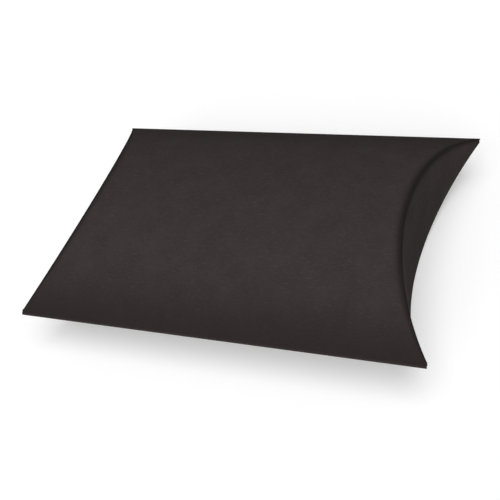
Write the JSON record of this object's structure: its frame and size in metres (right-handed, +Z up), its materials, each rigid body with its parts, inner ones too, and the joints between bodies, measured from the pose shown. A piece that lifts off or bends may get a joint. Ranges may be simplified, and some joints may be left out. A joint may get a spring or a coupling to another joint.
{
  "type": "pillow box",
  "caption": "Closed pillow box of plain dark card: two bowed panels on straight side folds, a glued side seam, and an outer flap over an inner flap at each curved end.",
  "frame": {"origin": "on the surface the box rests on, under the middle of the box", "axes": "+X along the side folds, +Y across the box towards the glued seam, +Z up"},
  "size_m": [0.162, 0.114, 0.0349],
  "materials": {
    "card": "matte",
    "glue": "satin"
  },
  "bodies": {
    "shell": {"top_panel": "card", "bottom_panel": "card", "glue_tab": "card", "glue_line": "glue"},
    "right_outer_flap": {"right_outer_flap": "card"},
    "right_inner_flap": {"right_inner_flap": "card"},
    "left_outer_flap": {"left_outer_flap": "card"},
    "left_inner_flap": {"left_inner_flap": "card"}
  },
  "joints": [
    {"name": "right_outer_flap_fold", "type": "hinge", "parent": "shell", "child": "right_outer_flap", "pos_m": [0.06503, 0, 0.03495], "axis": [0, -1, 0], "range_deg": [0, 90]},
    {"name": "right_inner_flap_fold", "type": "hinge", "parent": "shell", "child": "right_inner_flap", "pos_m": [0.06393, 0, 0], "axis": [0, 1, 0], "range_deg": [0, 90]},
    {"name": "left_outer_flap_fold", "type": "hinge", "parent": "shell", "child": "left_outer_flap", "pos_m": [-0.06503, 0, 0.03495], "axis": [0, 1, 0], "range_deg": [0, 90]},
    {"name": "left_inner_flap_fold", "type": "hinge", "parent": "shell", "child": "left_inner_flap", "pos_m": [-0.06393, 0, 0], "axis": [0, -1, 0], "range_deg": [0, 90]}
  ],
  "couplings": [
    {"joint": "right_inner_flap_fold", "follows": "right_outer_flap_fold", "ratio": 1},
    {"joint": "left_inner_flap_fold", "follows": "left_outer_flap_fold", "ratio": 1}
  ]
}
